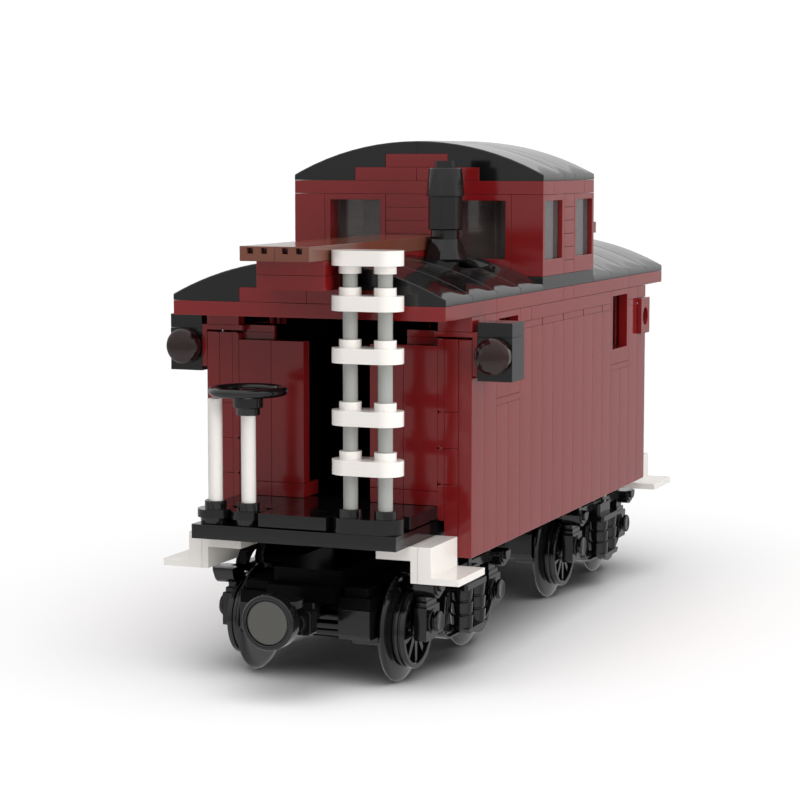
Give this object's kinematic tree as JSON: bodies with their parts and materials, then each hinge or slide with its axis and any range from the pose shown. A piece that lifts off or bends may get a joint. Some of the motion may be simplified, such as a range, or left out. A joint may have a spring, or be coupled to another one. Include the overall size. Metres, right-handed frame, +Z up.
{
  "type": "model caboose",
  "caption": "Brick-built model caboose with an arched cupola, open end platforms, ladders, handbrake wheels, sprung bogies on spoked wheels and magnetic couplers.",
  "frame": {"origin": "on the floor, under the middle of the car", "axes": "+Z up, Y along the car with the ladder-and-lamp end at -Y, X across"},
  "size_m": [0.0824, 0.2094, 0.1186],
  "materials": {
    "dark_red": "glossy moulded",
    "black": "glossy moulded",
    "white": "glossy moulded",
    "light_grey": "glossy moulded",
    "brown": "glossy moulded",
    "red_lens": "translucent",
    "smoke_pane": "clear tinted",
    "steel": "drawn",
    "magnet": "plated, satin"
  },
  "bodies": {
    "shell": {"side_planks": "dark_red", "wall_core": "dark_red", "bracket_plates": "dark_red", "eave_plates": "dark_red", "side_windows": "dark_red", "end_panels": "dark_red", "end_sills": "dark_red", "eave_slabs": "dark_red", "roof_spine": "dark_red", "cupola_windows": "dark_red", "cupola_stacks": "dark_red", "cupola_top_rows": "dark_red", "lamp_brackets": "dark_red", "end_headers": "dark_red", "header_bricks": "black", "underframe_plate": "black", "cabin_floor": "black", "deck_tiles": "black", "roof_slopes_right": "black", "roof_slopes_left": "black", "cupola_base": "black", "cupola_roof": "black", "chimney_base": "black", "chimney_body": "black", "chimney_cap": "black", "bar_sockets": "black", "lamp_housings": "black", "lamp_caps": "black", "bolsters": "black", "pivot_pins": "black", "ladder_rungs": "white", "porch_posts": "white", "step_brackets": "white", "step_treads": "white", "ladder_rails": "light_grey", "roof_walk": "brown", "lamp_lenses": "red_lens", "cupola_panes": "smoke_pane"},
    "front_bogie": {"front_bogie_plate": "black", "front_axle_holders": "black", "front_side_frames": "black", "front_spring_columns": "black"},
    "front_outer_wheelset": {"front_outer_wheels": "black", "front_outer_axle": "steel"},
    "front_inner_wheelset": {"front_inner_wheels": "black", "front_inner_axle": "steel"},
    "front_coupler": {"front_coupler_arm": "black", "front_coupler_magnet": "magnet"},
    "front_handbrake": {"front_brake_wheel": "black"},
    "rear_bogie": {"rear_bogie_plate": "black", "rear_axle_holders": "black", "rear_side_frames": "black", "rear_spring_columns": "black"},
    "rear_outer_wheelset": {"rear_outer_wheels": "black", "rear_outer_axle": "steel"},
    "rear_inner_wheelset": {"rear_inner_wheels": "black", "rear_inner_axle": "steel"},
    "rear_coupler": {"rear_coupler_arm": "black", "rear_coupler_magnet": "magnet"},
    "rear_handbrake": {"rear_brake_wheel": "black"}
  },
  "joints": [
    {"name": "front_bogie_swivel", "type": "hinge", "parent": "shell", "child": "front_bogie", "pos_m": [0, -0.052, 0.0258], "axis": [0, 0, 1], "range_deg": [-25, 25]},
    {"name": "front_outer_roll", "type": "hinge", "parent": "front_bogie", "child": "front_outer_wheelset", "pos_m": [0, -0.072, 0.012], "axis": [1, 0, 0], "continuous": true},
    {"name": "front_inner_roll", "type": "hinge", "parent": "front_bogie", "child": "front_inner_wheelset", "pos_m": [0, -0.032, 0.012], "axis": [1, 0, 0], "continuous": true},
    {"name": "front_coupler_swing", "type": "hinge", "parent": "front_bogie", "child": "front_coupler", "pos_m": [0, -0.0855, 0.0177], "axis": [0, 0, 1], "range_deg": [-20, 20]},
    {"name": "front_brake_turn", "type": "hinge", "parent": "shell", "child": "front_handbrake", "pos_m": [-0.012, -0.088, 0.0634], "axis": [0, 0, 1], "continuous": true},
    {"name": "rear_bogie_swivel", "type": "hinge", "parent": "shell", "child": "rear_bogie", "pos_m": [0, 0.052, 0.0258], "axis": [0, 0, 1], "range_deg": [-25, 25]},
    {"name": "rear_outer_roll", "type": "hinge", "parent": "rear_bogie", "child": "rear_outer_wheelset", "pos_m": [0, 0.072, 0.012], "axis": [1, 0, 0], "continuous": true},
    {"name": "rear_inner_roll", "type": "hinge", "parent": "rear_bogie", "child": "rear_inner_wheelset", "pos_m": [0, 0.032, 0.012], "axis": [1, 0, 0], "continuous": true},
    {"name": "rear_coupler_swing", "type": "hinge", "parent": "rear_bogie", "child": "rear_coupler", "pos_m": [0, 0.0855, 0.0177], "axis": [0, 0, 1], "range_deg": [-20, 20]},
    {"name": "rear_brake_turn", "type": "hinge", "parent": "shell", "child": "rear_handbrake", "pos_m": [0.012, 0.088, 0.0634], "axis": [0, 0, 1], "continuous": true}
  ]
}
